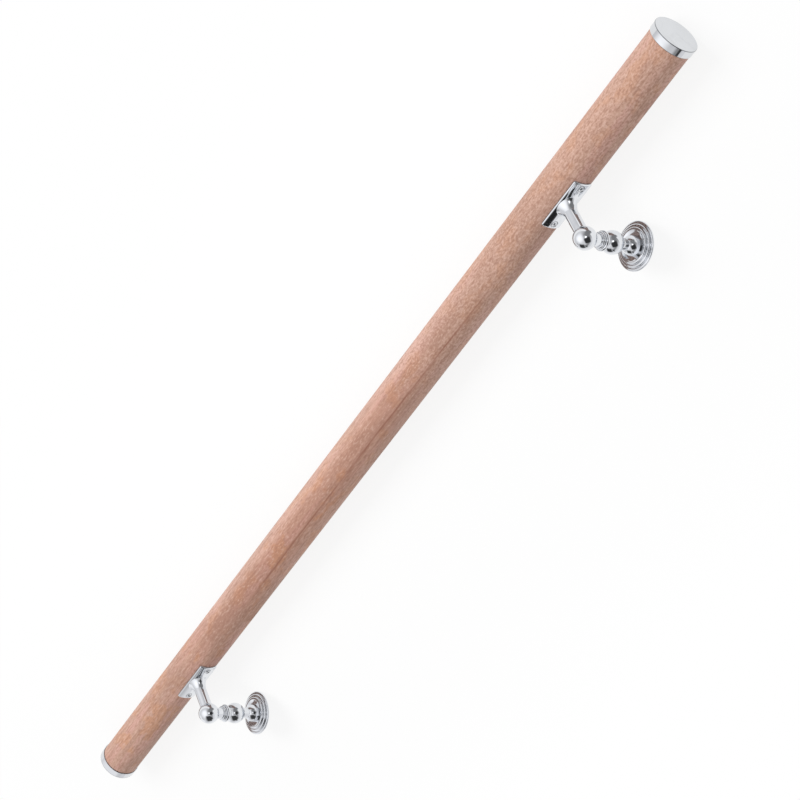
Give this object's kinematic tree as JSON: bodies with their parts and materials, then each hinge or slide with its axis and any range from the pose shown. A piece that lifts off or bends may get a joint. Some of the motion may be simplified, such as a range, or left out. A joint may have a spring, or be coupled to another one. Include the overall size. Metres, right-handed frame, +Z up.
{
  "type": "stair handrail length",
  "caption": "Round wooden stair handrail with bright metal end cups and wall brackets on turned stems with stepped roses.",
  "frame": {"origin": "on the floor under the middle of the part, centred along and across it", "axes": "+X along the rail to its upper end, +Z up from the floor, the brackets reaching towards -Y"},
  "size_m": [1.2, 0.1364, 0.079],
  "materials": {
    "wood": "fine-grained pinkish brown hardwood, sanded and sealed matt",
    "cup_chrome": "polished plate",
    "bracket_chrome": "polished plate over cast metal",
    "rose_chrome": "polished plate over turned metal"
  },
  "bodies": {
    "root": {"rail": "wood", "lower_end_cup": "cup_chrome", "upper_end_cup": "cup_chrome", "lower_bracket_arm": "bracket_chrome", "upper_bracket_arm": "bracket_chrome", "lower_wall_rose": "rose_chrome", "upper_wall_rose": "rose_chrome"}
  },
  "joints": []
}
